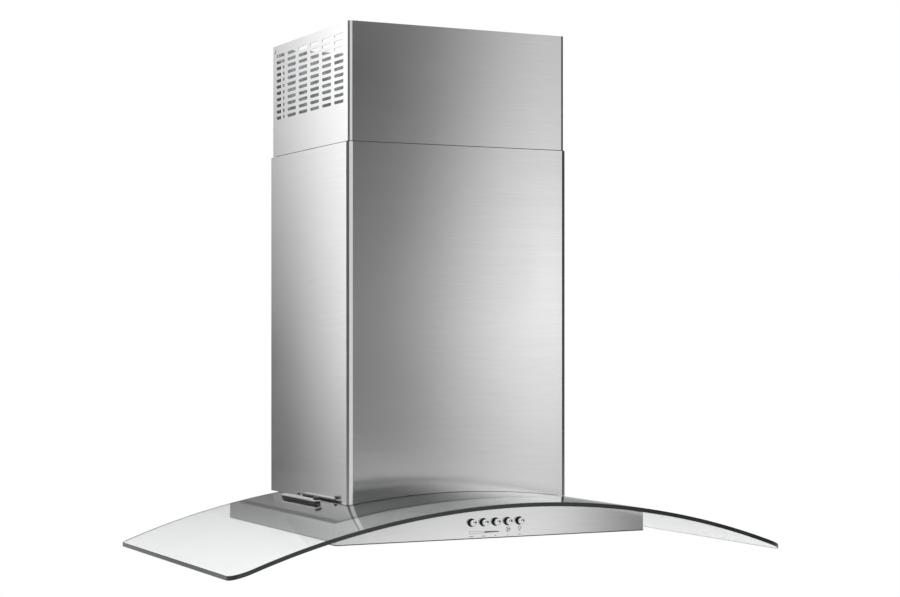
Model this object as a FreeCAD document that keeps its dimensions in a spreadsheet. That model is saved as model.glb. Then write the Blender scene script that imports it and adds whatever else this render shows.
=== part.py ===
import FreeCAD, Part
import math
import os
import re

import Sketcher
from FreeCAD import Rotation, Vector

# Wall-mounted chimney range hood with a curved glass canopy.
# X runs across the hood, +Y points into the wall, +Z is up; the wall is the plane Y = 0.
# The origin is the centre of the four wall bolts. All lengths are millimetres.

SIZES = {
    # glass: a sheet bent to an arc across the hood; its crown is the highest point of its top face
    "crown": -90.0, "glass_width": 900.0, "glass_depth": 510.0, "glass_thick": 6.0,
    "glass_radius": 1250.0, "glass_wall_gap": 31.0, "glass_corner": 29.0, "glass_rear_corner": 6.0,
    "notch_width": 346.0, "notch_depth": 282.0,
    # canopy body under the glass
    "body_width": 516.0, "body_depth": 437.0, "body_floor": 60.5, "body_corner": 2.5, "sheet": 1.2,
    "bed_thick": 1.5, "bed_width": 12.0, "fit_gap": 0.4,
    # chimney covers
    "cover_width": 375.0, "cover_depth": 320.0, "cover_top": 532.0, "cover_corner": 8.0, "cover_sheet": 1.0,
    "cover_lip": 14.0, "slide_gap": 1.5, "upper_top": 713.5, "upper_length": 480.0, "bracket_height": 132.0,
    "vent_length": 36.0, "vent_height": 5.2, "vent_pitch_y": 48.5, "vent_pitch_z": 10.1,
    "vent_top": 17.5, "vent_front": 42.0, "vent_columns": 6.0, "vent_rows": 11.0,
    # blower housing and wall plate
    "house_width": 330.0, "house_depth": 274.0, "house_top": 186.0, "plate_thick": 1.5,
    "bolt_across": 260.0, "bolt_up": 120.0, "bolt_hole": 4.0,
    # blower
    "shaft_y": -179.5, "shaft_up": 99.0, "scroll_width": 104.0, "scroll_sheet": 1.0, "scroll_start": 78.0,
    "scroll_growth": 0.19, "inlet_radius": 62.0, "wheel_radius": 70.0, "wheel_width": 92.0,
    "blade_count": 32.0, "motor_radius": 40.0, "motor_length": 40.0, "shaft_radius": 4.0,
    # exhaust
    "duct_radius": 75.0, "duct_length": 50.0, "duct_wall": 1.5, "duct_y": -140.0, "flange_radius": 88.0,
    "flap_radius": 72.0, "flap_thick": 1.2, "flap_offset": 4.0, "flap_up": 12.0, "pin_radius": 1.5,
    # buttons
    "button_radius": 4.9, "button_stand": 10.0, "button_pitch": 20.0, "button_drop": 36.0,
    "button_stem": 2.5, "button_gap": 0.35,
    # filters and lamps
    "filter_width": 232.0, "filter_depth": 318.0, "filter_thick": 9.0, "filter_rim": 13.0,
    "filter_front": 345.0, "filter_gap": 8.0, "lamp_x": 170.0, "lamp_y": -391.0, "lamp_radius": 29.0,
}

doc = FreeCAD.newDocument("RangeHood")
sheet = doc.addObject("Spreadsheet::Sheet", "Sizes")
for line, (alias, amount) in enumerate(SIZES.items(), 1):
    sheet.set(f"A{line}", alias)
    sheet.set(f"B{line}", str(amount))
    sheet.setAlias(f"B{line}", alias)
doc.recompute()
size = {alias: float(sheet.get(alias)) for alias in SIZES}
pieces = {}


# ---- small helpers: every length is an expression over the sheet's names ----

def over_sheet(text):
    """Write an expression of size names as one that FreeCAD reads from the sheet."""
    return re.sub(r"[a-z][a-z_]+", lambda word: ("Sizes." if word[0] in SIZES else "") + word[0], text)


def bind(thing, prop, text):
    thing.setExpression(prop, over_sheet(text))


def place(thing, at, turn=None):
    """Give an object its place, as three expressions, and its turn."""
    if turn:
        thing.Placement = FreeCAD.Placement(Vector(), turn)
    for axis, text in zip("xyz", at):
        bind(thing, f"Placement.Base.{axis}", text)
    return thing


def piece(name, thing):
    """Keep an object as the finished sub-part of that name."""
    thing.Label = name
    pieces[name] = thing
    return thing


TURN = {"Z": Rotation(), "Y": Rotation(Vector(1, 0, 0), -90), "X": Rotation(Vector(0, 1, 0), 90)}


def block(name, low, extent):
    """A rectangular block from its lowest corner and its three edge lengths."""
    thing = doc.addObject("Part::Box", name)
    for prop, text in zip(("Length", "Width", "Height"), extent):
        bind(thing, prop, text)
    return place(thing, low)


def rod(name, start, axis, radius, length):
    """A cylinder that starts at a point and runs along +X, +Y or +Z."""
    thing = doc.addObject("Part::Cylinder", name)
    bind(thing, "Radius", radius)
    bind(thing, "Height", length)
    return place(thing, start, TURN[axis])


def joined(name, things):
    thing = doc.addObject("Part::MultiFuse", name)
    thing.Shapes = things
    return thing


def gathered(name, things):
    """Separate solids that share one node."""
    thing = doc.addObject("Part::Compound", name)
    thing.Links = things
    return thing


def less(name, base, tools):
    thing = doc.addObject("Part::Cut", name)
    thing.Base = base
    thing.Tool = tools[0] if len(tools) == 1 else joined(name + "Tools", tools)
    return thing


def shared(name, first, second):
    thing = doc.addObject("Part::Common", name)
    thing.Base = first
    thing.Tool = second
    return thing


def under_arc(name, offset):
    """Everything below a face that runs parallel to the glass's top face, that far above it."""
    thing = doc.addObject("Part::Cylinder", name)
    bind(thing, "Radius", f"glass_radius + {offset}")
    bind(thing, "Height", "glass_depth + 200")
    return place(thing, ("0", "0 - glass_depth - 100", "crown - glass_radius"), TURN["Y"])


def arc_sheet(name, offset, thick, low, extent):
    """A sheet of that thickness below the offset arc, cut to a block's outline."""
    top = under_arc(name + "Top", offset)
    below = under_arc(name + "Below", f"{offset} - ({thick})")
    return shared(name, less(name + "Arc", top, [below]), block(name + "Outline", low, extent))


def ring(name, start, axis, outer, inner, length):
    """A tube: a cylinder with a bore right through."""
    bore = rod(name + "Bore", start, axis, inner, length)
    return less(name, rod(name + "Rod", start, axis, outer, length), [bore])


# ---- PartDesign helpers ----

def design(name):
    return doc.addObject("PartDesign::Body", name)


def sketch(owner, name, role, offset=None):
    """A sketch on one of the body's own origin planes, moved along the plane's normal."""
    thing = owner.newObject("Sketcher::SketchObject", name)
    thing.AttachmentSupport = [(next(p for p in owner.Origin.OriginFeatures if p.Role == role), "")]
    thing.MapMode = "FlatFace"
    if offset:
        bind(thing, "AttachmentOffset.Base.z", offset)
    return thing


def hold(thing, kind, *spots, to, now=1.0):
    """Add one driving dimension to a sketch, at a starting value, and bind it."""
    number = thing.addConstraint(Sketcher.Constraint(kind, *spots, now))
    bind(thing, f"Constraints[{number}]", to)


def rectangle(thing, left, low, right, high):
    """A rectangle between two corners, each held to the sketch's origin."""
    first = thing.GeometryCount
    corners = [Vector(0, 0), Vector(10, 0), Vector(10, 10), Vector(0, 10)]
    for side in range(4):
        thing.addGeometry(Part.LineSegment(corners[side], corners[(side + 1) % 4]), False)
    for side in range(4):
        after = first + (side + 1) % 4
        thing.addConstraint(Sketcher.Constraint("Coincident", first + side, 2, after, 1))
        thing.addConstraint(Sketcher.Constraint("Vertical" if side % 2 else "Horizontal", first + side))
    for kind, side, text in (("DistanceX", 0, left), ("DistanceY", 0, low), ("DistanceX", 2, right),
                             ("DistanceY", 2, high)):
        hold(thing, kind, -1, 1, first + side, 1, to=text)


def circle(thing, across, up, radius):
    number = thing.addGeometry(Part.Circle(Vector(0, 0), Vector(0, 0, 1), 5.0), False)
    hold(thing, "DistanceX", -1, 1, number, 3, to=across)
    hold(thing, "DistanceY", -1, 1, number, 3, to=up)
    hold(thing, "Radius", number, to=radius)


def slot(thing, near, across, up, length, height):
    """A slot with round ends: drawn near its place, then held by its centre, its length and its height."""
    reach = (size[length] - size[height]) / 2
    bend = size[height] / 2
    first = thing.GeometryCount
    for side, start in ((1, -90), (-1, 90)):
        end = Part.Circle(near + Vector(side * reach, 0), Vector(0, 0, 1), bend)
        thing.addGeometry(Part.ArcOfCircle(end, math.radians(start), math.radians(start + 180)), False)
        edge = [near + Vector(side * reach, side * bend), near + Vector(-side * reach, side * bend)]
        thing.addGeometry(Part.LineSegment(*edge), False)
    for number in range(4):
        after = first + (number + 1) % 4
        thing.addConstraint(Sketcher.Constraint("Tangent", first + number, 2, after, 1))
    thing.addConstraint(Sketcher.Constraint("Horizontal", first + 1))
    thing.addConstraint(Sketcher.Constraint("Equal", first, first + 2))
    hold(thing, "Radius", first, to=f"{height} / 2", now=bend)
    for side, number in ((1, first), (-1, first + 2)):
        hold(thing, "DistanceX", -1, 1, number, 3, now=near.x + side * reach,
             to=f"{across} + ({side}) * ({length} - {height}) / 2")
    hold(thing, "DistanceY", -1, 1, first, 3, to=up, now=near.y)


def pad(owner, profile, length):
    """Raise a profile by a length, to one side of its sketch."""
    thing = owner.newObject("PartDesign::Pad", profile.Name + "Pad")
    thing.Profile = profile
    bind(thing, "Length", length)
    doc.recompute()
    return thing


def pocket(owner, profile, depth=None):
    """Cut a profile to a depth, or right through both ways, and make sure that it took something away."""
    before = owner.Shape.Volume
    thing = owner.newObject("PartDesign::Pocket", profile.Name + "Pocket")
    thing.Profile = profile
    if depth:
        thing.Type = "Length"
        bind(thing, "Length", depth)
    else:
        thing.SideType = "Symmetric"
        thing.Type = "ThroughAll"
    doc.recompute()
    if owner.Shape.Volume >= before:
        raise RuntimeError(profile.Name + " cuts nothing")
    return thing


def round_uprights(owner, feature, radius, wanted):
    """Fillet the vertical edges that lie where wanted(x, y) is true."""
    names = []
    for number, edge in enumerate(feature.Shape.Edges, 1):
        first, last = edge.Vertexes[0].Point, edge.Vertexes[-1].Point
        upright = math.hypot(first.x - last.x, first.y - last.y) < 0.001 and abs(first.z - last.z) > 1.0
        if upright and wanted(first.x, first.y):
            names.append(f"Edge{number}")
    thing = owner.newObject("PartDesign::Fillet", feature.Name + "Bend")
    thing.Base = (feature, names)
    bind(thing, "Radius", radius)
    doc.recompute()
    return thing


def hollow(owner, feature, thick):
    """Turn a block into a sheet wrapper that is open above and below."""
    ends = [f"Face{number}" for number, face in enumerate(feature.Shape.Faces, 1)
            if abs(face.normalAt(0, 0).z) > 0.999]
    thing = owner.newObject("PartDesign::Thickness", feature.Name + "Sheet")
    thing.Base = (feature, ends)
    thing.Reversed = True
    bind(thing, "Value", thick)
    doc.recompute()
    return thing


def wrapper(name, half_width, front, back, low, high, corner, thick):
    """A bent sheet wrapper: a rectangle in plan with round front corners, open above and below."""
    owner = design(name)
    plan = sketch(owner, name + "Plan", "XY_Plane", low)
    rectangle(plan, f"0 - ({half_width})", front, half_width, back)
    raised = pad(owner, plan, f"({high}) - ({low})")
    middle = (raised.Shape.BoundBox.YMin + raised.Shape.BoundBox.YMax) / 2
    bent = round_uprights(owner, raised, corner, lambda x, y: y < middle)
    hollow(owner, bent, thick)
    return owner


def turned(name, profile, at, axis="Z"):
    """A turned piece: its half section, as (radius, height) expressions, swept round its own axis."""
    owner = design(name)
    half = sketch(owner, name + "Half", "XZ_Plane")
    count = len(profile)
    for number in range(count):
        here, there = math.tau * number / count, math.tau * (number + 1) / count
        ends = [Vector(20 + math.cos(turn), math.sin(turn)) for turn in (here, there)]
        half.addGeometry(Part.LineSegment(*ends), False)
    for number in range(count):
        half.addConstraint(Sketcher.Constraint("Coincident", number, 2, (number + 1) % count, 1))
    for number, (radius, height) in enumerate(profile):
        hold(half, "DistanceX", -1, 1, number, 1, to=radius)
        hold(half, "DistanceY", -1, 1, number, 1, to=height)
    spun = owner.newObject("PartDesign::Revolution", name + "Turn")
    spun.Profile = half
    spun.ReferenceAxis = (half, ["V_Axis"])
    spun.Angle = 360.0
    doc.recompute()
    return place(owner, at, TURN[axis])


def from_shape(name, shape):
    """A sub-part whose shape is worked out with Part's own functions."""
    thing = doc.addObject("Part::Feature", name)
    thing.Shape = shape
    return thing


# ---- glass canopy ----

def glass_canopy():
    """The bent glass: front corners well rounded, a notch behind for the blower housing."""
    plate = block("GlassPlan", ("0 - glass_width / 2", "0 - glass_wall_gap - glass_depth", "crown - 200"),
                  ("glass_width", "glass_depth", "300"))
    doc.recompute()
    rounded = doc.addObject("Part::Fillet", "GlassRounded")
    rounded.Base = plate
    middle = plate.Shape.BoundBox.Center.y
    rounds = []
    for number, edge in enumerate(plate.Shape.Edges, 1):
        first, last = edge.Vertexes[0].Point, edge.Vertexes[-1].Point
        if abs(first.z - last.z) > 1.0:
            radius = size["glass_corner"] if first.y < middle else size["glass_rear_corner"]
            rounds.append((number, radius, radius))
    rounded.Edges = rounds
    bent = less("GlassArc", under_arc("GlassTop", "0"), [under_arc("GlassBelow", "0 - glass_thick")])
    notch = block("GlassNotch", ("0 - notch_width / 2", "0 - notch_depth", "crown - 100"),
                  ("notch_width", "notch_depth + 50", "200"))
    piece("glass_canopy", less("GlassCanopy", shared("GlassSheet", bent, rounded), [notch]))


def glass_beds():
    """Rubber strips between the deck and the glass: one along the front and one along each side."""
    below = "0 - glass_thick"
    inner = "body_width / 2 - sheet - fit_gap"
    strips = [arc_sheet("BedFront", below, "bed_thick - 0.1",
                        (f"0 - ({inner})", "0 - body_depth + sheet + fit_gap", "crown - 100"),
                        (f"2 * ({inner})", "bed_width", "150"))]
    for side, start in (("Left", f"0 - ({inner})"), ("Right", f"{inner} - bed_width")):
        strips.append(arc_sheet(f"Bed{side}", below, "bed_thick - 0.1",
                                (start, "0 - body_depth + sheet + fit_gap + bed_width + 1", "crown - 100"),
                                ("bed_width", "body_depth - bed_width - glass_wall_gap - 10", "150")))
    piece("glass_beds", gathered("GlassBeds", strips))


def glass_clamps():
    """A steel bar each side of the chimney foot, on a rubber strip, holds the glass to the deck."""
    start = "0 - 245"
    for side, sign in (("left", -1), ("right", 1)):
        mid = f"{sign} * (cover_width / 2 + 18)"
        drop = "crown - (cover_width / 2 + 13) ^ 2 / (2 * glass_radius)"
        bar = block(f"ClampBar_{side}", (f"{mid} - 5", start, f"{drop} + 2.2"), ("10", "140", "3.2"))
        knob = rod(f"ClampKnob_{side}", (mid, f"{start} + 6", f"{drop} + 5.4"), "Z", "5.5", "4.2")
        piece(f"glass_clamp_{side}", joined(f"GlassClamp_{side}", [bar, knob]))
    pads = []
    for side, sign in (("Left", -1), ("Right", 1)):
        mid = f"{sign} * (cover_width / 2 + 18)"
        drop = "crown - (cover_width / 2 + 13) ^ 2 / (2 * glass_radius)"
        strip = block(f"PadBlock{side}", (f"{mid} - 4.5", f"{start} + 1", f"{drop} - 8"),
                      ("9", "138", "10.2"))
        pads.append(less(f"Pad{side}", strip, [under_arc(f"PadArc{side}", "0.05")]))
    piece("clamp_pads", gathered("ClampPads", pads))


# ---- canopy body ----

def canopy_shell():
    """Front, sides and back of the canopy in one wrapped sheet; its top edge follows the glass."""
    floor = "crown - body_floor"
    owner = wrapper("ShellWrap", "body_width / 2", "0 - body_depth", "0", floor, "crown", "body_corner",
                    "sheet")
    holes = sketch(owner, "ButtonHoles", "XZ_Plane", "body_depth + 5")
    for number in range(5):
        circle(holes, f"({number} - 2) * button_pitch", "crown - button_drop", "button_radius + button_gap")
    pocket(owner, holes, "10")
    piece("canopy_shell", shared("CanopyShell", owner, under_arc("ShellTop", "0 - glass_thick - 0.3")))


def canopy_deck():
    """The curved plate that closes the canopy above and carries glass and blower."""
    inner = "body_width / 2 - sheet - fit_gap"
    plate = arc_sheet("DeckSheet", "0 - glass_thick - bed_thick", "sheet",
                      (f"0 - ({inner})", "0 - body_depth + sheet + fit_gap", "crown - 100"),
                      (f"2 * ({inner})", "body_depth - 2 * (sheet + fit_gap)", "150"))
    way = block("DeckWay", ("0 - house_width / 2 + 14", "0 - house_depth + 14", "crown - 60"),
                ("house_width - 28", "house_depth - 32", "100"))
    piece("canopy_deck", less("CanopyDeck", plate, [way]))


def bottom_panel():
    """The flat plate underneath: two filter openings side by side and two lamp holes in front."""
    inner = "body_width / 2 - sheet - fit_gap"
    owner = design("BottomPanelBody")
    plan = sketch(owner, "BottomPlan", "XY_Plane", "crown - body_floor + 0.3")
    rectangle(plan, f"0 - ({inner})", "0 - body_depth + sheet + fit_gap", inner, "0 - sheet - fit_gap")
    for sign in (-1, 1):
        mid = f"{sign} * (filter_width + filter_gap) / 2"
        rectangle(plan, f"{mid} - filter_width / 2", "0 - filter_front", f"{mid} + filter_width / 2",
                  "0 - filter_front + filter_depth")
        circle(plan, f"{sign} * lamp_x", "lamp_y", "lamp_radius + 0.5")
    pad(owner, plan, "sheet")
    piece("bottom_panel", owner)


# ---- chimney covers ----

def lower_cover():
    """The wide lower cover: its foot follows the glass, and its back is open between two lips."""
    owner = wrapper("LowerWrap", "cover_width / 2", "0 - cover_depth", "0", "crown - 30", "crown + cover_top",
                    "cover_corner", "cover_sheet")
    gap = sketch(owner, "LowerBack", "XZ_Plane", "20")
    rectangle(gap, "0 - cover_width / 2 + cover_lip", "crown - 50", "cover_width / 2 - cover_lip",
              "crown + cover_top + 10")
    pocket(owner, gap, "30")
    piece("lower_cover", less("LowerCover", owner, [under_arc("LowerFoot", "0.3")]))


def upper_cover():
    """The narrower upper cover: it slides inside the lower one; slots through both sides let air out."""
    inset = "cover_sheet + slide_gap"
    top = "crown + upper_top"
    owner = wrapper("UpperWrap", f"cover_width / 2 - ({inset})", f"0 - cover_depth + {inset}",
                    f"0 - ({inset})", f"{top} - upper_length", top, "cover_corner - cover_sheet - slide_gap",
                    "cover_sheet")
    gap = sketch(owner, "UpperBack", "XZ_Plane", "20")
    rectangle(gap, f"0 - cover_width / 2 + {inset} + cover_lip", f"{top} - upper_length - 10",
              f"cover_width / 2 - ({inset}) - cover_lip", f"{top} + 10")
    pocket(owner, gap, "30")
    vent = sketch(owner, "VentSlot", "YZ_Plane")
    near = Vector(size["vent_front"] - size["cover_depth"],
                  size["crown"] + size["upper_top"] - size["vent_top"])
    slot(vent, near, "0 - cover_depth + vent_front", f"{top} - vent_top", "vent_length", "vent_height")
    first = pocket(owner, vent)
    grid = owner.newObject("PartDesign::LinearPattern", "VentGrid")
    grid.Originals = [first]
    grid.Direction = (vent, ["H_Axis"])
    grid.Direction2 = (vent, ["V_Axis"])
    grid.Reversed2 = True
    bind(grid, "Length", "vent_pitch_y * (vent_columns - 1)")
    bind(grid, "Occurrences", "vent_columns")
    bind(grid, "Length2", "vent_pitch_z * (vent_rows - 1)")
    bind(grid, "Occurrences2", "vent_rows")
    owner.Tip = grid
    doc.recompute()
    screw_holes = sketch(owner, "CoverScrewHoles", "YZ_Plane")
    circle(screw_holes, "0 - 10", f"{top} - 9", "2.2")
    pocket(owner, screw_holes)
    piece("upper_cover", owner)


def cover_bracket():
    """The wall bracket in the top of the upper cover: a plate behind the vents, with an ear at each side."""
    inner = "cover_width / 2 - 2 * cover_sheet - slide_gap"
    top = "crown + upper_top - 2"
    bar = block("BracketBar", (f"0 - ({inner}) + 16", "0 - 2", f"{top} - bracket_height"),
                (f"2 * ({inner}) - 32", "2", "bracket_height"))
    parts = [bar]
    for side, sign in (("Left", -1), ("Right", 1)):
        mid = f"{sign} * ({inner} - 9)"
        arm = block(f"BracketArm{side}", (f"{mid} - 9", "0 - 6", f"{top} - 22"), ("18", "2", "22"))
        link = block(f"BracketLink{side}", (f"{sign} * ({inner} - 17) - 1", "0 - 6", f"{top} - 22"),
                     ("2", "6", "22"))
        ear = block(f"BracketEar{side}", (f"{sign} * ({inner} - 1.1) - 1", "0 - 26", f"{top} - 22"),
                    ("2", "22", "22"))
        parts += [arm, link, ear]
    holes = [rod(f"BracketHole{sign}", (f"{sign} * 120", "0 - 10", f"{top} - 11"), "Y", "3", "20")
             for sign in (-1, 1)]
    holes.append(rod("BracketScrewWay", ("0 - cover_width / 2", "0 - 10", "crown + upper_top - 9"), "X",
                     "2.2", "cover_width"))
    piece("cover_bracket", less("CoverBracket", joined("BracketSolid", parts), holes))


def cover_screws():
    """Two small screws that hold the upper cover to its bracket."""
    wall = "cover_width / 2 - cover_sheet - slide_gap"
    screws = []
    for side, sign in (("Left", -1), ("Right", 1)):
        head_at = f"{wall} + 0.05" if sign > 0 else f"0 - ({wall}) - 1.35"
        shank_at = f"{wall} - 7" if sign > 0 else f"0 - ({wall}) - 0.1"
        head = rod(f"CoverScrewHead{side}", (head_at, "0 - 10", "crown + upper_top - 9"), "X", "3.2", "1.3")
        shank = rod(f"CoverScrewShank{side}", (shank_at, "0 - 10", "crown + upper_top - 9"), "X", "1.9",
                    "7.1")
        screws.append(joined(f"CoverScrew{side}", [head, shank]))
    piece("cover_screws", gathered("CoverScrews", screws))


def cover_clips():
    """Angle clips on the housing sides that locate the foot of the lower cover."""
    clips = []
    inner = "cover_width / 2 - cover_sheet"
    for side, sign in (("Left", -1), ("Right", 1)):
        foot = block(f"ClipFoot{side}", (f"{sign} * (house_width / 2 + 0.75) - 0.75", "0 - 90", "crown + 20"),
                     ("1.5", "40", "30"))
        reach = block(f"ClipReach{side}",
                      (f"{sign} * (house_width / 2 + {inner}) / 2 - ({inner} - house_width / 2) / 2 + 0.2",
                       "0 - 90", "crown + 20"), (f"{inner} - house_width / 2 - 0.4", "40", "1.5"))
        face = block(f"ClipFace{side}", (f"{sign} * ({inner} - 1) - 0.75", "0 - 90", "crown + 20"),
                     ("1.5", "40", "30"))
        clips.append(joined(f"Clip{side}", [foot, reach, face]))
    piece("cover_clips", gathered("CoverClips", clips))


# ---- blower housing ----

def wall_plate():
    """The back of the housing, which hangs the hood: four round bolt holes about the origin."""
    owner = design("WallPlateBody")
    plan = sketch(owner, "WallPlan", "XZ_Plane")
    rectangle(plan, "0 - house_width / 2", "crown - 40", "house_width / 2", "crown + house_top")
    for across in (-1, 1):
        for up in (-1, 1):
            circle(plan, f"{across} * bolt_across / 2", f"{up} * bolt_up / 2", "bolt_hole")
    pad(owner, plan, "plate_thick")
    foot = under_arc("WallPlateFoot", "0 - glass_thick - 0.2")
    piece("wall_plate", less("WallPlate", owner, [foot]))


def blower_housing():
    """Front, sides and top of the blower box; it stands on the deck through the notch in the glass."""
    low, high = "crown - 40", "crown + house_top"
    outer = block("HouseOuter", ("0 - house_width / 2", "0 - house_depth", low),
                  ("house_width", "house_depth - plate_thick - 0.05", f"{high} - ({low})"))
    inner = block("HouseInner", ("0 - house_width / 2 + sheet", "0 - house_depth + sheet", f"{low} - 5"),
                  ("house_width - 2 * sheet", "house_depth", f"{high} - ({low}) + 5 - sheet"))
    way = rod("HouseWay", ("0", "duct_y", f"{high} - 20"), "Z", "duct_radius - 2", "40")
    foot = under_arc("HouseFoot", "0 - glass_thick - bed_thick + 0.05")
    piece("blower_housing", less("BlowerHousing", outer, [inner, way, foot]))


def housing_feet():
    """Angle feet inside the housing front that screw it to the deck."""
    feet = []
    for side, sign in (("Left", -1), ("Right", 1)):
        mid = f"{sign} * 90"
        level = "crown - glass_thick - bed_thick - 90 ^ 2 / (2 * glass_radius) + 1"
        low = (f"{mid} - 15", "0 - house_depth + sheet", level)
        upright = block(f"FootUp{side}", low, ("30", "1.5", "24"))
        flat = block(f"FootFlat{side}", low, ("30", "11", "1.5"))
        feet.append(joined(f"Foot{side}", [upright, flat]))
    piece("housing_feet", gathered("HousingFeet", feet))


# ---- blower ----

def spiral(grow, start, turn_from, quarters, centre):
    """Tangent arcs whose radius grows each quarter turn; gives the arcs and the last point."""
    arcs = []
    hub = Vector(centre)
    radius = start
    turn = turn_from
    for number in range(quarters):
        step = math.pi / 2 if number else math.pi / 3
        rim = [hub + Vector(0, math.cos(turn - share * step), math.sin(turn - share * step)) * radius
               for share in (0.0, 0.5, 1.0)]
        arcs.append(Part.Arc(*rim).toShape())
        turn -= step
        wider = radius * (1 + grow) if number < quarters - 1 else radius
        hub += Vector(0, math.cos(turn), math.sin(turn)) * (radius - wider)
        radius = wider
    return arcs, rim[-1]


def scroll():
    """The blower's snail: a spiral wall and two cheeks with round inlets, its throat open upwards."""
    centre = Vector(0, size["shaft_y"], size["crown"] + size["shaft_up"])
    half = size["scroll_width"] / 2
    lid = size["crown"] + size["house_top"] - size["sheet"] - 0.1
    skin = size["scroll_sheet"]

    def outline(grown):
        """The closed side view, that much larger than the air way."""
        tongue = math.radians(60)
        reach = size["scroll_start"] + grown
        backward, last = spiral(size["scroll_growth"], reach, tongue, 3, Vector())
        # mirrored, the wall starts at the tongue in front, dips under the wheel, and rises behind it
        arcs = [arc.mirror(Vector(), Vector(0, 1, 0)) for arc in backward]
        first = Vector(0, -math.cos(tongue), math.sin(tongue)) * reach
        end = Vector(0, -last.y, last.z)
        rise = lid - centre.z
        lines = [Part.makeLine(first, Vector(0, first.y, rise)),
                 Part.makeLine(Vector(0, first.y, rise), Vector(0, end.y, rise)),
                 Part.makeLine(Vector(0, end.y, rise), end)]
        wire = Part.Wire(Part.sortEdges(arcs + lines)[0])
        wire.translate(centre)
        return Part.Face(wire)

    body = outline(skin).extrude(Vector(size["scroll_width"], 0, 0))
    body.translate(Vector(-half, 0, 0))
    air = outline(0.0).extrude(Vector(size["scroll_width"] - 2 * skin, 0, 0))
    air.translate(Vector(skin - half, 0, 0))
    inlet = Part.makeCylinder(size["inlet_radius"], 2 * half + 20, centre - Vector(half + 10, 0, 0),
                              Vector(1, 0, 0))
    snail = body.cut(air).cut(inlet)
    piece("scroll", from_shape("Scroll", snail.removeSplitter()))


def inlet_rings():
    """A bell mouth on each cheek leads the air into the wheel."""
    rings = []
    for side, sign in (("Left", -1), ("Right", 1)):
        start = "scroll_width / 2 + 0.05" if sign > 0 else "0 - scroll_width / 2 - 3.05"
        rings.append(ring(f"Inlet{side}", (start, "shaft_y", "crown + shaft_up"), "X", "inlet_radius + 7",
                          "inlet_radius - 2", "3"))
    piece("inlet_rings", gathered("InletRings", rings))


def impeller():
    """The wheel: a centre disc with its hub, two end rings and a cage of forward-leaning blades."""
    centre = Vector(0, size["shaft_y"], size["crown"] + size["shaft_up"])
    along = Vector(1, 0, 0)
    half = size["wheel_width"] / 2
    rim = size["wheel_radius"]
    root = rim - 13

    def drum(radius, start, length):
        return Part.makeCylinder(radius, length, centre + along * start, along)

    hub = drum(rim - 1, -0.8, 1.6).fuse(drum(9, -0.8, 14)).cut(drum(size["shaft_radius"], -5, 30))
    end_rings = [drum(rim, side * half - 1.5, 3).cut(drum(root + 3, side * half - 5, 10)) for side in (-1, 1)]
    blade = Part.makeBox(size["wheel_width"], 1.0, 13.0, centre + Vector(-half, -0.5, root - 1))
    blade.rotate(centre + Vector(0, 0, root + 6), along, 28)
    blades = []
    for number in range(int(size["blade_count"])):
        copy = blade.copy()
        copy.rotate(centre, along, 360.0 * number / size["blade_count"])
        blades.append(copy)
    piece("impeller", from_shape("Impeller", hub.multiFuse(end_rings + blades)))


def motor():
    """A round motor inside the wheel's left half, its shaft, and the three-armed bracket that holds it."""
    at = ("0 - motor_length - 8", "shaft_y", "crown + shaft_up")
    tall, wide = "motor_length", "motor_radius"
    bore = "shaft_radius + 0.05"
    case = [(bore, "0"), ("12", "0"), ("12", "5"), (f"{wide} - 6", "5"), (wide, "11"), (wide, f"{tall} - 8"),
            (f"{wide} - 6", f"{tall} - 2"), ("12", f"{tall} - 2"), ("12", tall), (bore, tall)]
    piece("motor", turned("MotorBody", case, at, "X"))
    piece("motor_shaft", rod("MotorShaft", ("0 - motor_length - 12", "shaft_y", "crown + shaft_up"), "X",
                             "shaft_radius", "motor_length + 30"))
    plate_at = "0 - scroll_width / 2 - 5.2"
    hub = ring("BracketHub", (plate_at, "shaft_y", "crown + shaft_up"), "X", "motor_radius - 8", "13", "2")
    arms = [hub]
    for number in range(3):
        arm = doc.addObject("Part::Box", f"MotorArm{number}")
        arm.Length, arm.Width = 2.0, 12.0
        bind(arm, "Height", "inlet_radius - motor_radius + 14")
        turn = Rotation(Vector(1, 0, 0), 120.0 * number)
        reach = turn.multVec(Vector(0, -6.0, size["motor_radius"] - 10))
        arm.Placement = FreeCAD.Placement(Vector(-size["scroll_width"] / 2 - 5.2, size["shaft_y"] + reach.y,
                                                 size["crown"] + size["shaft_up"] + reach.z), turn)
        arms.append(arm)
    for number in range(3):
        turn = Rotation(Vector(1, 0, 0), 120.0 * number + 60)
        spot = turn.multVec(Vector(0, 0, size["motor_radius"] - 18))
        stud = rod(f"MotorStud{number}", ("0 - scroll_width / 2 - 3.2", "shaft_y", "crown + shaft_up"), "X",
                   "2.5", "scroll_width / 2 + 3.2 - motor_length - 3.05")
        bind(stud, "Placement.Base.y", f"shaft_y + {spot.y:.4f}")
        bind(stud, "Placement.Base.z", f"crown + shaft_up + {spot.z:.4f}")
        arms.append(stud)
    piece("motor_bracket", joined("MotorBracket", arms))


def capacitor():
    """The motor's run capacitor and the clip that holds it to the housing side."""
    centre = ("house_width / 2 - 22", "0 - 236", "crown + 70")
    can = [("0", "0"), ("13.5", "0"), ("15", "1.5"), ("15", "56"), ("13", "58"), ("13", "60"), ("0", "60")]
    piece("capacitor", turned("CapacitorCan", can, centre))
    strap = ring("StrapRing", (centre[0], centre[1], "crown + 92"), "Z", "16.5", "15.05", "12")
    tab = block("StrapTab", ("house_width / 2 - sheet - 5.3", "0 - 244", "crown + 92"), ("5", "16", "12"))
    can_way = rod("StrapWay", (centre[0], centre[1], "crown + 80"), "Z", "15.05", "40")
    piece("capacitor_clip", less("CapacitorClip", joined("StrapSolid", [strap, tab]), [can_way]))


# ---- exhaust ----

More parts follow.
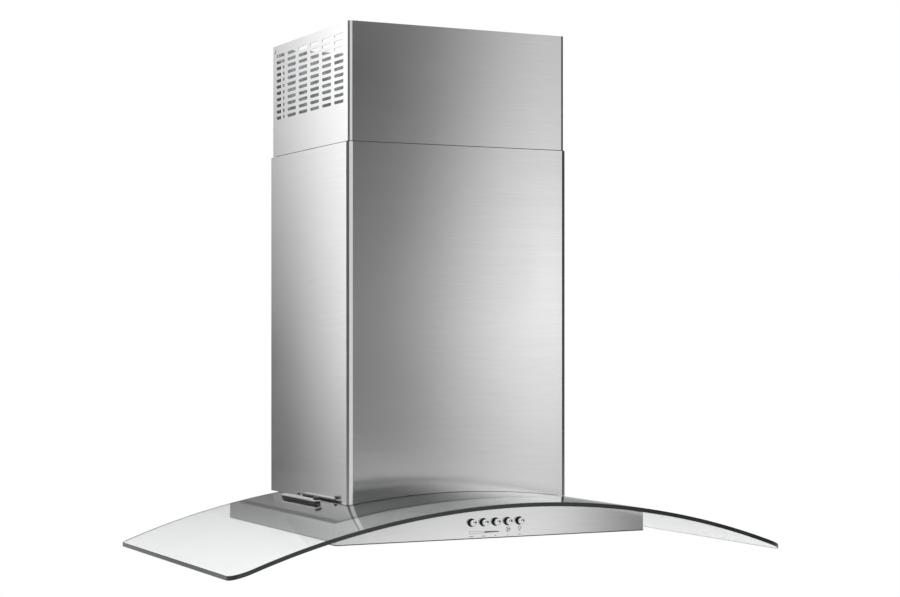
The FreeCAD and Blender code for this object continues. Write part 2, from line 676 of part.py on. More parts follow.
def exhaust_collar():
    """The round duct spigot on top of the housing, with a flange and an inner stop for the flaps."""
    bore = "duct_radius - duct_wall"
    wall = [(bore, "0"), ("flange_radius", "0"), ("flange_radius", "1.5"), ("duct_radius", "1.5"),
            ("duct_radius", "duct_length"), (bore, "duct_length"), (bore, "flap_up - 0.9"),
            (f"{bore} - 3", "flap_up - 0.9"), (f"{bore} - 3", "flap_up - 2.1"), (bore, "flap_up - 2.1")]
    body = turned("CollarBody", wall, ("0", "duct_y", "crown + house_top + 0.05"))
    holes = [rod(f"CollarHole{number}", (across, f"duct_y + {along}", "crown + house_top - 5"), "Z", "2.1",
                 "10") for number, (across, along) in enumerate(collar_spots())]
    piece("exhaust_collar", less("ExhaustCollar", body, holes))


def collar_spots():
    """The four flange screws stand at 45 degrees."""
    reach = f"{0.5 * math.sqrt(2):.6f} * (flange_radius + duct_radius) / 2"
    return [(f"{side} * {reach}", f"{end} * {reach}") for side in (-1, 1) for end in (-1, 1)]


def collar_screws():
    heads = []
    for number, (across, along) in enumerate(collar_spots()):
        at = "crown + house_top + 1.6"
        head = rod(f"CollarScrewHead{number}", (across, f"duct_y + {along}", at), "Z", "3.8", "2.2")
        shank = rod(f"CollarScrewShank{number}", (across, f"duct_y + {along}", f"{at} - 1.5"), "Z", "1.9",
                    "1.6")
        heads.append(joined(f"CollarScrew{number}", [head, shank]))
    piece("collar_screws", gathered("CollarScrews", heads))


def dampers():
    """Two half-round flaps that the air lifts, each on its own pin across the spigot."""
    level = "crown + house_top + flap_up"
    reach = "sqrt((duct_radius - duct_wall) ^ 2 - flap_offset ^ 2) - 0.3"
    pins = []
    for side, sign in (("left", -1), ("right", 1)):
        mid = f"{sign} * flap_offset"
        disc = rod(f"FlapDisc_{side}", ("0", "duct_y", f"{level} - flap_thick / 2"), "Z", "flap_radius",
                   "flap_thick")
        low = "flap_offset" if sign > 0 else "0 - flap_radius - 5"
        half = block(f"FlapHalf_{side}", (low, "duct_y - 100", f"{level} - 5"),
                     ("flap_radius + 5 - flap_offset", "200", "10"))
        barrel = rod(f"FlapBarrel_{side}", (mid, "duct_y - 55", level), "Y", "pin_radius + 1.05", "110")
        way = rod(f"FlapWay_{side}", (mid, "duct_y - 80", level), "Y", "pin_radius + 0.05", "160")
        leaf = joined(f"FlapLeaf_{side}", [shared(f"FlapCut_{side}", disc, half), barrel])
        piece(f"damper_flap_{side}", less(f"Flap_{side}", leaf, [way]))
        pins.append(rod(f"FlapPin_{side}", (mid, f"duct_y - ({reach})", level), "Y", "pin_radius",
                        f"2 * ({reach})"))
    piece("damper_pins", gathered("DamperPins", pins))


# ---- wiring ----

def wiring_box():
    """The mains box on the housing top: tray, lid, terminal block, screws and a gland for the lead."""
    low = ("0 - house_width / 2 + 6", "0 - house_depth + 6", "crown + house_top + 0.05")
    tray = block("TrayOuter", low, ("70", "76", "34"))
    room = block("TrayRoom", [f"{corner} + 1.2" for corner in low], ("67.6", "73.6", "40"))
    piece("wiring_box", less("WiringBox", tray, [room]))
    lid_at = f"{low[2]} + 34.05"
    lid = block("LidPlate", (low[0], low[1], lid_at), ("70", "76", "1.2"))
    hole = rod("LidHole", (f"{low[0]} + 50", f"{low[1]} + 22", f"{lid_at} - 5"), "Z", "8.05", "10")
    piece("wiring_box_lid", less("WiringLid", lid, [hole]))
    flange = (f"{low[0]} + 50", f"{low[1]} + 22", f"{lid_at} + 1.25")
    gland = [("4.5", "0 - 9"), ("7.9", "0 - 9"), ("7.9", "0"), ("11", "0"), ("11", "4"), ("8.5", "5"),
             ("7.5", "14"), ("4.5", "14")]
    piece("cable_gland", turned("GlandBody", gland, flange))
    block_at = (f"{low[0]} + 8", f"{low[1]} + 42", f"{low[2]} + 1.25")
    strip = block("TerminalBlock", block_at, ("46", "18", "14"))
    wells = [rod(f"Well{number}", (f"{low[0]} + {14 + 8.5 * number}", f"{low[1]} + 51", f"{low[2]} + 9"),
                 "Z", "2.4", "10") for number in range(5)]
    piece("terminal_block", less("TerminalStrip", strip, wells))
    screws = []
    for number, (across, along) in enumerate(((6, 6), (64, 70))):
        head = rod(f"LidScrew{number}", (f"{low[0]} + {across}", f"{low[1]} + {along}", f"{lid_at} + 1.25"),
                   "Z", "3", "1.8")
        screws.append(head)
    piece("lid_screws", gathered("LidScrews", screws))


# ---- controls ----

BUTTONS = ("button_speed_high", "button_speed_middle", "button_speed_low", "button_fan_off", "button_light")


def buttons():
    """Five chrome push buttons; each is a domed pin whose stem runs into the switch block."""
    for number, name in enumerate(BUTTONS):
        dome = "button_stand"
        half = [("0", f"0 - {dome}"), ("button_radius - 2.4", f"0 - {dome}"),
                ("button_radius - 1.1", f"0 - {dome} + 0.35"), ("button_radius - 0.3", f"0 - {dome} + 1.1"),
                ("button_radius", f"0 - {dome} + 2"), ("button_radius", "sheet + 3.2"),
                ("button_stem", "sheet + 3.2"), ("button_stem", "sheet + 14"), ("0", "sheet + 14")]
        at = (f"({number} - 2) * button_pitch", "0 - body_depth", "crown - button_drop")
        piece(name, turned(f"Button{number}", half, at, "Y"))


def switch_block():
    """The moulded switch bank behind the control face, with a blind well for each stem."""
    face = "0 - body_depth + sheet + 7"
    bank = block("SwitchBank", ("0 - 2.5 * button_pitch", face, "crown - button_drop - 9"),
                 ("5 * button_pitch", "20", "18"))
    wells = [rod(f"StemWell{number}", (f"({number} - 2) * button_pitch", f"{face} - 1",
                                       "crown - button_drop"), "Y", "button_stem + button_gap", "13")
             for number in range(5)]
    piece("switch_block", less("SwitchBlock", bank, wells))
    posts = []
    for side, sign in (("Left", -1), ("Right", 1)):
        strap = block(f"SwitchStrap{side}", (f"{sign} * (2.5 * button_pitch + 6.1) - 6",
                                             "0 - body_depth + sheet + 0.1", "crown - button_drop - 7"),
                      ("12", "24", "14"))
        posts.append(strap)
    piece("switch_posts", gathered("SwitchPosts", posts))


# ---- filters ----

def filters():
    """Two grease filters hung at the rear edge; each is a frame, its mesh and a spring latch in front."""
    level = "crown - body_floor + 0.3"
    for side, sign in (("left", -1), ("right", 1)):
        mid = f"{sign} * (filter_width + filter_gap) / 2"
        half = "filter_width / 2 - 1.5"
        front = "0 - filter_front + 1.5"
        owner = design(f"FilterFrame_{side}")
        plan = sketch(owner, f"FilterPlan_{side}", "XY_Plane", level)
        rectangle(plan, f"{mid} - ({half})", front, f"{mid} + {half}",
                  "0 - filter_front + filter_depth - 1.5")
        rectangle(plan, f"{mid} - ({half}) + filter_rim", f"{front} + filter_rim + 9",
                  f"{mid} + {half} - filter_rim", "0 - filter_front + filter_depth - 1.5 - filter_rim")
        pad(owner, plan, "filter_thick")
        way = block(f"LatchWay_{side}", (f"{mid} - 16", f"{front} - 1", f"{level} + 2"), ("32", "14", "4.6"))
        sink = block(f"LatchSink_{side}", (f"{mid} - 13", f"{front} + 3", f"{level} - 1"), ("26", "12", "5"))
        tabs = [block(f"FilterTab_{side}{number}",
                      (f"{mid} + ({across}) - 9", "0 - filter_front + filter_depth - 3",
                       f"{level} + sheet + 0.45"), ("18", "9.5", "1.2"))
                for number, across in enumerate((-70, 70))]
        hung = joined(f"FilterHung_{side}", [owner] + tabs)
        piece(f"filter_frame_{side}", less(f"FilterSolid_{side}", hung, [way, sink]))
        mesh = block(f"FilterMesh_{side}",
                     (f"{mid} - ({half}) + filter_rim + 0.05", f"{front} + filter_rim + 9.05",
                      f"{level} + 2"),
                     (f"2 * ({half}) - 2 * filter_rim - 0.1",
                      "filter_depth - 3 - 2 * filter_rim - 9.1", "2"))
        piece(f"filter_mesh_{side}", mesh)
        tongue = block(f"LatchTongue_{side}", (f"{mid} - 15.6", f"{front} - 1.1", f"{level} + 2.35"),
                       ("31.2", "9.5", "3.9"))
        grip = block(f"LatchGrip_{side}", (f"{mid} - 11", f"{front} + 7", f"{level} + 0.4"),
                     ("22", "4", "2.2"))
        rib = block(f"LatchRib_{side}", (f"{mid} - 11", f"{front} + 3.5", f"{level} + 1"),
                    ("22", "7.5", "1.5"))
        piece(f"filter_latch_{side}", joined(f"FilterLatch_{side}", [tongue, grip, rib]))


# ---- lamps ----

def lamps():
    """Two lamps in the front strip: a chrome bezel, a frosted lens and the bulb can above it."""
    level = "crown - body_floor"
    bezels, lenses, cans = [], [], []
    for side, sign in (("Left", -1), ("Right", 1)):
        at = (f"{sign} * lamp_x", "lamp_y", level)
        lip = [("lamp_radius - 6", "0 - 1.7"), ("lamp_radius + 2.5", "0 - 1.7"),
               ("lamp_radius + 4", "0 - 0.6"),
               ("lamp_radius + 4", "0.2"), ("lamp_radius", "0.2"), ("lamp_radius", "9"),
               ("lamp_radius - 1.5", "9"), ("lamp_radius - 1.5", "0.4"), ("lamp_radius - 6", "0.4")]
        bezels.append(turned(f"Bezel{side}", lip, at))
        lenses.append(rod(f"Lens{side}", (at[0], at[1], f"{level} + 0.5"), "Z", "lamp_radius - 1.6", "2.5"))
        can = [("0", "3.1"), ("lamp_radius - 4", "3.1"), ("lamp_radius - 4", "10"), ("16", "24"), ("9", "26"),
               ("9", "34"), ("0", "34")]
        cans.append(turned(f"LampCan{side}", can, at))
    piece("lamp_bezels", gathered("LampBezels", bezels))
    piece("lamp_lenses", gathered("LampLenses", lenses))
    piece("lamp_bulbs", gathered("LampBulbs", cans))


for make in (glass_canopy, glass_beds, glass_clamps, canopy_shell, canopy_deck, bottom_panel, lower_cover,
             upper_cover, cover_bracket, cover_screws, cover_clips, wall_plate, blower_housing, housing_feet,
             scroll, inlet_rings, impeller, motor, capacitor, exhaust_collar, collar_screws, dampers,
             wiring_box, buttons, switch_block, filters, lamps):
    make()

doc.recompute()
for thing in doc.Objects:
    if "Invalid" in thing.State or "Error" in thing.State:
        raise RuntimeError(f"{thing.Name}: {thing.State}")
os.makedirs("parts", exist_ok=True)
for name, thing in pieces.items():
    if thing.Shape.isNull() or not thing.Shape.isValid():
        raise RuntimeError(f"{name} has no valid shape")
    thing.Shape.exportStep(f"parts/{name}.step")
print(len(pieces), "parts written")
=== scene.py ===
"""Wall chimney range hood with a bent glass canopy: finishes and fine pieces on the frame."""

import math

import bmesh
import bpy
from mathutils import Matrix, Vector


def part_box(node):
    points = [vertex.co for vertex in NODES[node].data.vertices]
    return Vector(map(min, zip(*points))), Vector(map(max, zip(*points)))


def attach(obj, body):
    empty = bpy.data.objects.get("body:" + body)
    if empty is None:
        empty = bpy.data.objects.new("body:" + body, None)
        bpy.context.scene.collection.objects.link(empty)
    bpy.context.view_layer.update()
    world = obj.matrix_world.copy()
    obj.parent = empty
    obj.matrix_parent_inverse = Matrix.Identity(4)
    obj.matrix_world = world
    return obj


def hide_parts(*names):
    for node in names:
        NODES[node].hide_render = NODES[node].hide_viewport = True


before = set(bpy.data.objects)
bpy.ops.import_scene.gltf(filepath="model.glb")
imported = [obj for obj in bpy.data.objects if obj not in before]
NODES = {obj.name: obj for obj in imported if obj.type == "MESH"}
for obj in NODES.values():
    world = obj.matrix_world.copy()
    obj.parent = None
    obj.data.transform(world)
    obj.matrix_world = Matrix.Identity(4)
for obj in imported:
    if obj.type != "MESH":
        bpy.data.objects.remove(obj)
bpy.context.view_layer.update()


# ---- shader groups ----

def new_group(name, inputs, outputs):
    """An empty shader group with its named sockets, and its two end nodes."""
    group = bpy.data.node_groups.new(name, "ShaderNodeTree")
    for label, kind, value in inputs:
        group.interface.new_socket(label, in_out="INPUT", socket_type=kind).default_value = value
    for label, kind in outputs:
        group.interface.new_socket(label, in_out="OUTPUT", socket_type=kind)
    return group, group.nodes.new("NodeGroupInput"), group.nodes.new("NodeGroupOutput")


def noise(tree, where, scale, detail=2.0, rough=0.5):
    """A noise texture over the given coordinates; its value output."""
    texture = tree.nodes.new("ShaderNodeTexNoise")
    texture.inputs["Scale"].default_value = scale
    texture.inputs["Detail"].default_value = detail
    texture.inputs["Roughness"].default_value = rough
    tree.links.new(where, texture.inputs["Vector"])
    return texture.outputs["Fac"]


def place(tree):
    """Coordinates on the piece itself, in metres."""
    return tree.nodes.new("ShaderNodeTexCoord").outputs["Object"]


def spread(tree, value, low, high, to_low, to_high):
    """The value's range from low to high, laid over another range."""
    node = tree.nodes.new("ShaderNodeMapRange")
    labels = ("From Min", "From Max", "To Min", "To Max")
    for label, number in zip(labels, (low, high, to_low, to_high)):
        node.inputs[label].default_value = number
    tree.links.new(value, node.inputs["Value"])
    return node.outputs["Result"]


def sum_of(tree, first, second, kind="ADD"):
    """Two values added, or combined in another way."""
    node = tree.nodes.new("ShaderNodeMath")
    node.operation = kind
    for socket, value in zip(node.inputs, (first, second)):
        if isinstance(value, (int, float)):
            socket.default_value = value
        else:
            tree.links.new(value, socket)
    return node.outputs["Value"]


def stretched(tree, where, by):
    """Coordinates multiplied by a vector, which may be a socket."""
    node = tree.nodes.new("ShaderNodeVectorMath")
    node.operation = "MULTIPLY"
    tree.links.new(where, node.inputs[0])
    if isinstance(by, bpy.types.NodeSocket):
        tree.links.new(by, node.inputs[1])
    else:
        node.inputs[1].default_value = by
    return node.outputs["Vector"]


def brushing_group():
    """Long parallel scratches: fine ones, and broader bands between them."""
    group, start, end = new_group(
        "brushing", [("Stretch", "NodeSocketVector", (3.0, 3.0, 900.0))],
        [("Streak", "NodeSocketFloat"), ("Band", "NodeSocketFloat")])
    along = stretched(group, place(group), start.outputs["Stretch"])
    fine = noise(group, along, 1.0, 4.0, 0.6)
    finer = noise(group, along, 2.7, 2.0, 0.5)
    streak = sum_of(group, sum_of(group, fine, finer), 0.5, "MULTIPLY")
    group.links.new(streak, end.inputs["Streak"])
    group.links.new(noise(group, along, 0.13, 3.0, 0.6), end.inputs["Band"])
    return group


def handling_group():
    """Wiped patches and a few finger marks: where the gloss is duller."""
    group, start, end = new_group(
        "handling", [("Size", "NodeSocketFloat", 7.0)], [("Dull", "NodeSocketFloat")])
    texture = group.nodes.new("ShaderNodeTexNoise")
    texture.inputs["Detail"].default_value = 4.0
    texture.inputs["Distortion"].default_value = 0.6
    group.links.new(place(group), texture.inputs["Vector"])
    group.links.new(start.outputs["Size"], texture.inputs["Scale"])
    group.links.new(spread(group, texture.outputs["Fac"], 0.35, 0.7, 0.0, 1.0), end.inputs["Dull"])
    return group


def speckle_group():
    """Fine moulded or cast grain."""
    group, start, end = new_group(
        "speckle", [("Grain", "NodeSocketFloat", 1800.0)],
        [("Height", "NodeSocketFloat"), ("Tone", "NodeSocketFloat")])
    texture = group.nodes.new("ShaderNodeTexNoise")
    texture.inputs["Detail"].default_value = 3.0
    where = place(group)
    group.links.new(where, texture.inputs["Vector"])
    group.links.new(start.outputs["Grain"], texture.inputs["Scale"])
    group.links.new(texture.outputs["Fac"], end.inputs["Height"])
    group.links.new(noise(group, where, 40.0, 4.0), end.inputs["Tone"])
    return group


def spangle_group():
    """The crystal flowers of hot-dip zinc."""
    group, start, end = new_group(
        "spangle", [("Crystals", "NodeSocketFloat", 130.0)],
        [("Facet", "NodeSocketFloat"), ("Border", "NodeSocketFloat")])
    where = place(group)
    cells = group.nodes.new("ShaderNodeTexVoronoi")
    group.links.new(where, cells.inputs["Vector"])
    group.links.new(start.outputs["Crystals"], cells.inputs["Scale"])
    split = group.nodes.new("ShaderNodeSeparateColor")
    group.links.new(cells.outputs["Color"], split.inputs["Color"])
    group.links.new(split.outputs["Red"], end.inputs["Facet"])
    border = spread(group, cells.outputs["Distance"], 0.2, 0.7, 0.0, 1.0)
    group.links.new(border, end.inputs["Border"])
    return group


def edge_rub_group():
    """Where corners have been rubbed bright."""
    group, start, end = new_group(
        "edge_rub", [("Reach", "NodeSocketFloat", 0.56)], [("Rub", "NodeSocketFloat")])
    shape = group.nodes.new("ShaderNodeNewGeometry").outputs["Pointiness"]
    broken = noise(group, place(group), 60.0, 4.0)
    raised = sum_of(group, shape, sum_of(group, broken, 0.06, "MULTIPLY"))
    over = sum_of(group, raised, start.outputs["Reach"], "SUBTRACT")
    group.links.new(spread(group, over, 0.0, 0.05, 0.0, 1.0), end.inputs["Rub"])
    return group


BRUSHING = brushing_group()
HANDLING = handling_group()
SPECKLE = speckle_group()
SPANGLE = spangle_group()
EDGE_RUB = edge_rub_group()


# ---- finishes ----

def new_finish(name, roughness=0.5, metallic=0.0, **sockets):
    """A material with its Principled shader set; sockets are the shader's own constants."""
    material = bpy.data.materials.new(name)
    material.use_nodes = True
    shader = material.node_tree.nodes["Principled BSDF"]
    shader.inputs["Roughness"].default_value = roughness
    shader.inputs["Metallic"].default_value = metallic
    for label, value in sockets.items():
        shader.inputs[label.replace("_", " ")].default_value = value
    return material, material.node_tree, shader


def use(tree, group, **inputs):
    """A shader group placed in a material with its own values."""
    node = tree.nodes.new("ShaderNodeGroup")
    node.node_tree = group
    for label, value in inputs.items():
        node.inputs[label].default_value = value
    return node.outputs


def tint(tree, mask, low, high, shader, socket="Base Color"):
    """A colour between two, by a mask, into the shader."""
    node = tree.nodes.new("ShaderNodeMix")
    node.data_type = "RGBA"
    node.inputs["A"].default_value = (*low, 1.0)
    node.inputs["B"].default_value = (*high, 1.0)
    tree.links.new(mask, node.inputs["Factor"])
    tree.links.new(node.outputs["Result"], shader.inputs[socket])
    return node


def relief(tree, height, shader, depth, strength=1.0):
    """A bump of that depth in metres, into the shader's normal."""
    bump = tree.nodes.new("ShaderNodeBump")
    bump.inputs["Distance"].default_value = depth
    bump.inputs["Strength"].default_value = strength
    tree.links.new(height, bump.inputs["Height"])
    tree.links.new(bump.outputs["Normal"], shader.inputs["Normal"])


def brushed(name, stretch, low, high, dullest, shiniest, lengthwise=True, depth=0.000006):
    """Sheet steel or aluminium with parallel brushing."""
    material, tree, shader = new_finish(name, metallic=1.0)
    lines = use(tree, BRUSHING, Stretch=stretch)
    marks = use(tree, HANDLING, Size=6.0)
    tint(tree, spread(tree, lines["Streak"], 0.32, 0.68, 0.0, 1.0), low, high, shader)
    dull = sum_of(tree, sum_of(tree, lines["Band"], 0.6, "MULTIPLY"),
                  sum_of(tree, marks["Dull"], 0.4, "MULTIPLY"))
    tree.links.new(spread(tree, dull, 0.1, 0.9, shiniest, dullest), shader.inputs["Roughness"])
    relief(tree, lines["Streak"], shader, depth)
    if lengthwise:
        shader.inputs["Anisotropic"].default_value = 0.5
        shader.inputs["Anisotropic Rotation"].default_value = 0.25
        tangent = tree.nodes.new("ShaderNodeTangent")
        tangent.direction_type = "RADIAL"
        tangent.axis = "Z"
        tree.links.new(tangent.outputs["Tangent"], shader.inputs["Tangent"])
    return material


def polished(name, low, high, roughness):
    """Plated or turned metal with faint wiping marks."""
    material, tree, shader = new_finish(name, metallic=1.0)
    marks = use(tree, HANDLING, Size=90.0)
    grain = use(tree, SPECKLE, Grain=2600.0)
    tint(tree, grain["Tone"], low, high, shader)
    tree.links.new(spread(tree, marks["Dull"], 0.0, 1.0, roughness, roughness + 0.09),
                   shader.inputs["Roughness"])
    relief(tree, grain["Height"], shader, 0.000001, 0.6)
    return material


def zinc(name, low, high):
    """Zinc-coated sheet with its spangle, scuffed at the corners."""
    material, tree, shader = new_finish(name, metallic=1.0)
    crystals = use(tree, SPANGLE, Crystals=110.0)
    rub = use(tree, EDGE_RUB, Reach=0.57)
    both = sum_of(tree, sum_of(tree, crystals["Facet"], 0.75, "MULTIPLY"),
                  sum_of(tree, rub["Rub"], 0.3, "MULTIPLY"))
    tint(tree, both, low, high, shader)
    tree.links.new(spread(tree, crystals["Facet"], 0.0, 1.0, 0.3, 0.5), shader.inputs["Roughness"])
    relief(tree, crystals["Border"], shader, 0.00001, 0.5)
    return material


def moulded(name, low, high, rubbed, roughness, grain=1800.0, depth=0.00001, **sockets):
    """Moulded plastic or rubber, or thick paint: grain, uneven tone and rubbed corners."""
    material, tree, shader = new_finish(name, **sockets)
    speckle = use(tree, SPECKLE, Grain=grain)
    rub = use(tree, EDGE_RUB, Reach=0.57)
    base = tint(tree, speckle["Tone"], low, high, shader)
    worn = tree.nodes.new("ShaderNodeMix")
    worn.data_type = "RGBA"
    worn.inputs["B"].default_value = (*rubbed, 1.0)
    tree.links.new(rub["Rub"], worn.inputs["Factor"])
    tree.links.new(base.outputs["Result"], worn.inputs["A"])
    tree.links.new(worn.outputs["Result"], shader.inputs["Base Color"])
    tree.links.new(spread(tree, speckle["Tone"], 0.3, 0.7, roughness - 0.07, roughness + 0.07),
                   shader.inputs["Roughness"])
    relief(tree, speckle["Height"], shader, depth)
    return material


def clear_glass(name, colour):
    """Clear toughened glass, with wiping marks that only dull the gloss."""
    material, tree, shader = new_finish(name, IOR=1.52, Transmission_Weight=1.0)
    marks = use(tree, HANDLING, Size=5.0)
    tint(tree, marks["Dull"], colour, tuple(c * 0.985 for c in colour), shader)
    tree.links.new(spread(tree, marks["Dull"], 0.0, 1.0, 0.0, 0.035), shader.inputs["Roughness"])
    return material


def rim_painted_shade(name):
    """The ground and polished rim of green glass, opaque and painted near black: painted shade for
    the light lost along the long path through the edge.
    """
    material, tree, shader = new_finish(name, IOR=1.52, Coat_Weight=0.15, Coat_Roughness=0.05)
    lines = use(tree, BRUSHING, Stretch=(20.0, 20.0, 1600.0))
    tint(tree, lines["Streak"], (0.003, 0.007, 0.006), (0.009, 0.018, 0.016), shader)
    tree.links.new(spread(tree, lines["Band"], 0.2, 0.8, 0.12, 0.3), shader.inputs["Roughness"])
    relief(tree, lines["Streak"], shader, 0.000004)
    return material


def frosted_lens(name):
    """Pressed lamp glass, matt inside."""
    material, tree, shader = new_finish(name, IOR=1.5, Transmission_Weight=0.85)
    grain = use(tree, SPECKLE, Grain=900.0)
    tint(tree, grain["Tone"], (0.86, 0.88, 0.88), (0.93, 0.95, 0.95), shader)
    tree.links.new(spread(tree, grain["Tone"], 0.2, 0.8, 0.28, 0.42), shader.inputs["Roughness"])
    relief(tree, grain["Height"], shader, 0.00004)
    return material


FINISHES = {
    "brushed_steel": brushed("cover_brushed_steel", (13.0, 13.0, 850.0), (0.58, 0.58, 0.585),
                             (0.635, 0.635, 0.64), 0.145, 0.122, depth=0.0000005),
    # The deck's steel is a darkened copy of the brushed steel: painted shade on the deck under the
    # glass.
    "deck_steel": brushed("deck_steel_painted_shade", (3.0, 700.0, 3.0), (0.070, 0.070, 0.073),
                          (0.110, 0.110, 0.114), 0.42, 0.3, lengthwise=False),
    "clamp_steel": brushed("clamp_brushed_steel", (600.0, 6.0, 600.0), (0.60, 0.60, 0.61),
                           (0.74, 0.74, 0.75), 0.3, 0.2, lengthwise=False),
    "bright_steel": polished("screw_bright_steel", (0.56, 0.55, 0.53), (0.70, 0.69, 0.67), 0.16),
    "button_chrome": polished("button_chrome", (0.74, 0.75, 0.77), (0.82, 0.83, 0.85), 0.05),
    "zinc_sheet": zinc("housing_zinc", (0.40, 0.42, 0.44), (0.66, 0.68, 0.70)),
    "wheel_sheet": zinc("wheel_zinc", (0.46, 0.48, 0.50), (0.62, 0.64, 0.66)),
    "motor_case": moulded("motor_enamel", (0.020, 0.021, 0.023), (0.045, 0.046, 0.048),
                          (0.28, 0.28, 0.27), 0.42, 900.0, 0.00002, Coat_Weight=0.25),
    "filter_aluminium": brushed("filter_frame_aluminium", (500.0, 500.0, 4.0), (0.66, 0.67, 0.68),
                                (0.80, 0.81, 0.82), 0.42, 0.28, lengthwise=False),
    "mesh_aluminium": polished("filter_mesh_aluminium", (0.60, 0.61, 0.62), (0.80, 0.81, 0.82),
                               0.24),
    "lamp_can": polished("lamp_reflector", (0.70, 0.70, 0.70), (0.84, 0.84, 0.84), 0.14),
    "canopy_glass": clear_glass("canopy_clear_glass", (0.955, 0.985, 0.975)),
    "lens_glass": frosted_lens("lamp_frosted_glass"),
    "black_rubber": moulded("bed_rubber", (0.010, 0.010, 0.010), (0.022, 0.022, 0.022),
                            (0.05, 0.05, 0.05), 0.72, 1200.0, 0.00003),
    "black_plastic": moulded("gland_plastic", (0.014, 0.014, 0.015), (0.030, 0.030, 0.031),
                             (0.09, 0.09, 0.09), 0.42),
    "can_plastic": moulded("capacitor_plastic", (0.62, 0.61, 0.57), (0.74, 0.73, 0.69),
                           (0.80, 0.79, 0.76), 0.38),
}
# The glass rim's near-black colour is painted shade, not the colour of the glass.
GLASS_RIM_SHADE = rim_painted_shade("canopy_rim_painted_shade")
PRINT = moulded("control_print", (0.10, 0.10, 0.105), (0.15, 0.15, 0.155), (0.2, 0.2, 0.2), 0.45,
                2400.0, 0.000002)
SHANK_BLACK = moulded("button_shank_black", (0.008, 0.008, 0.009), (0.016, 0.016, 0.017),
                      (0.04, 0.04, 0.04), 0.24)
# Near-black sheet material for the gap between the covers: painted shade.
GAP_SHADE = moulded("cover_gap_shade", (0.012, 0.012, 0.012), (0.030, 0.030, 0.030), (0.04, 0.04, 0.04), 0.85,
               2600.0, 0.00008)

for node in NODES.values():
    for held in node.material_slots:
        held.material = FINISHES[held.material.name.split(".")[0]]


# ---- mesh tools ----

def made(name, verts, faces, slot, body="hood", materials=None, smooth=35.0):
    """A piece from points and faces in the frame, riding on a body."""
    mesh = bpy.data.meshes.new(name)
    mesh.from_pydata(verts, [], faces)
    mesh.validate()
    for material in materials or [FINISHES[slot]]:
        mesh.materials.append(material)
    piece = bpy.data.objects.new(name, mesh)
    bpy.context.scene.collection.objects.link(piece)
    mesh.shade_smooth()
    mesh.set_sharp_from_angle(angle=math.radians(smooth))
    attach(piece, body)
    return piece


def outwards(piece):
    """Turns all faces of a closed piece to the outside."""
    work = bmesh.new()
    work.from_mesh(piece.data)
    bmesh.ops.recalc_face_normals(work, faces=work.faces)
    work.to_mesh(piece.data)
    work.free()


def softened(piece, width, segments=2, angle=40.0):
    """Breaks the piece's sharp edges."""
    bevel = piece.modifiers.new("broken_edges", "BEVEL")
    bevel.width = width
    bevel.segments = segments
    bevel.limit_method = "ANGLE"
    bevel.angle_limit = math.radians(angle)
    bevel.harden_normals = True
    return piece


def turned(profile, centre, axis="Y", steps=64):
    """Points and faces of a closed turned shape, from (radius, station) pairs along the axis."""
    verts, faces, rings = [], [], []
    for radius, station in profile:
        ring = []
        count = 1 if radius < 1e-7 else steps
        for k in range(count):
            angle = 2 * math.pi * k / steps
            across, up = radius * math.cos(angle), radius * math.sin(angle)
            point = (across, station, up) if axis == "Y" else (across, up, station)
            ring.append(len(verts))
            verts.append(tuple(p + c for p, c in zip(point, centre)))
        rings.append(ring)
    for first, second in zip(rings, rings[1:]):
        for k in range(steps):
            after = (k + 1) % steps
            corners = [first[k % len(first)], first[after % len(first)],
                       second[after % len(second)], second[k % len(second)]]
            corners = list(dict.fromkeys(corners))
            if len(corners) > 2:
                faces.append(corners)
    return verts, faces


def gather(*shapes):
    """Several shapes as one list of points and faces."""
    verts, faces = [], []
    for some_verts, some_faces in shapes:
        shift = len(verts)
        verts.extend(some_verts)
        faces.extend([[i + shift for i in face] for face in some_faces])
    return verts, faces


def slab(outline, near, far):
    """A flat shape on a plane of constant Y: outline of (x, z), from near to far in y."""
    count = len(outline)
    verts = [(x, near, z) for x, z in outline] + [(x, far, z) for x, z in outline]
    faces = [list(range(count)), list(range(2 * count - 1, count - 1, -1))]
    for k in range(count):
        after = (k + 1) % count
        faces.append([k, k + count, after + count, after])
    return verts, faces


# ---- canopy glass ----

GLASS_LOW, GLASS_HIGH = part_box("glass_canopy")
GLASS_RADIUS = 1.25
GLASS_THICK = 0.006
NOTCH_HALF = 0.173
NOTCH_FRONT = -0.282
FRONT_ROUND = 0.029
REAR_ROUND = 0.006


def glass_level(x, below=0.0):
    """Height of the glass's top face at x, or of a face that runs that far below it."""
    centre = GLASS_HIGH.z - GLASS_RADIUS
    return centre + math.sqrt((GLASS_RADIUS - below) ** 2 - x * x)


def rounded(corners, steps=10):
    """A closed outline of (x, y, radius) corners with their rounds drawn in."""
    outline = []
    count = len(corners)
    for k, (x, y, radius) in enumerate(corners):
        if radius == 0:
            outline.append((x, y))
            continue
        here = Vector((x, y))
        back = (Vector(corners[k - 1][:2]) - here).normalized()
        ahead = (Vector(corners[(k + 1) % count][:2]) - here).normalized()
        centre = here + (back + ahead) * radius
        for step in range(steps + 1):
            turn = math.pi / 2 * step / steps
            outline.append(tuple(centre - ahead * radius * math.cos(turn)
                                 - back * radius * math.sin(turn)))
    return outline


